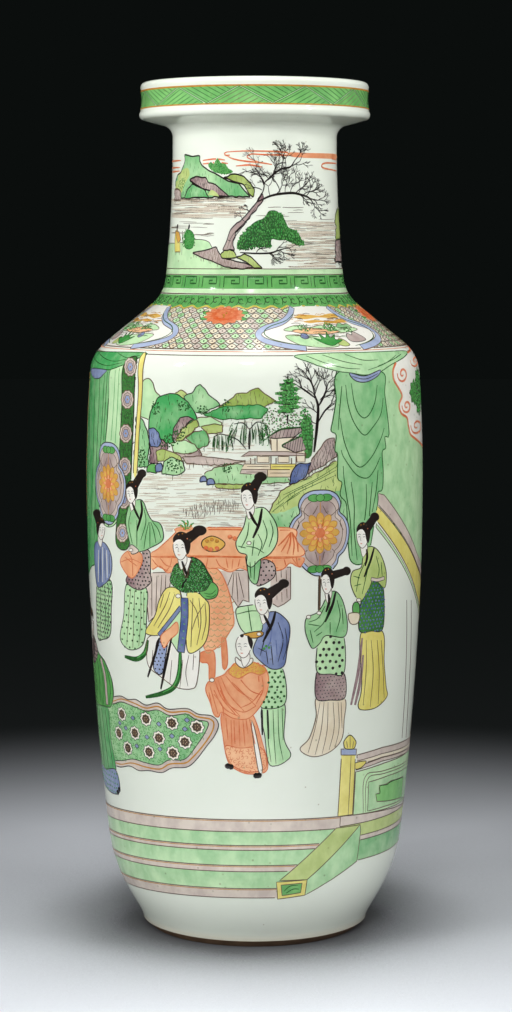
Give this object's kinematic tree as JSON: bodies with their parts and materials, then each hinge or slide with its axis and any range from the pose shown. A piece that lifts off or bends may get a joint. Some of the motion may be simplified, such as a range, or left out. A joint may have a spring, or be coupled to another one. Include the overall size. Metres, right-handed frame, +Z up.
{
  "type": "rouleau vase",
  "caption": "Tall porcelain rouleau vase with a nearly straight painted body, sloping shoulder, cylindrical neck and dish-shaped mouth, standing on a low foot ring.",
  "frame": {"origin": "centre of the foot ring on the plane it stands on", "axes": "+Z up along the axis that the vase is turned about; -Y is the side that faces the camera in the picture"},
  "size_m": [0.1832, 0.1832, 0.46],
  "materials": {
    "glazed_porcelain": "clear glaze over white porcelain, faintly green, with overglaze enamels",
    "bare_paste": "unglazed fired paste, burnt brown on the surface",
    "luting_slip": "fired porcelain slip under the glaze"
  },
  "bodies": {
    "root": {"foot_ring": "bare_paste", "lower_body": "glazed_porcelain", "waist_lute": "luting_slip", "upper_body": "glazed_porcelain", "neck_lute": "luting_slip", "neck": "glazed_porcelain", "mouth_lute": "luting_slip", "mouth_rim": "glazed_porcelain"}
  },
  "joints": []
}
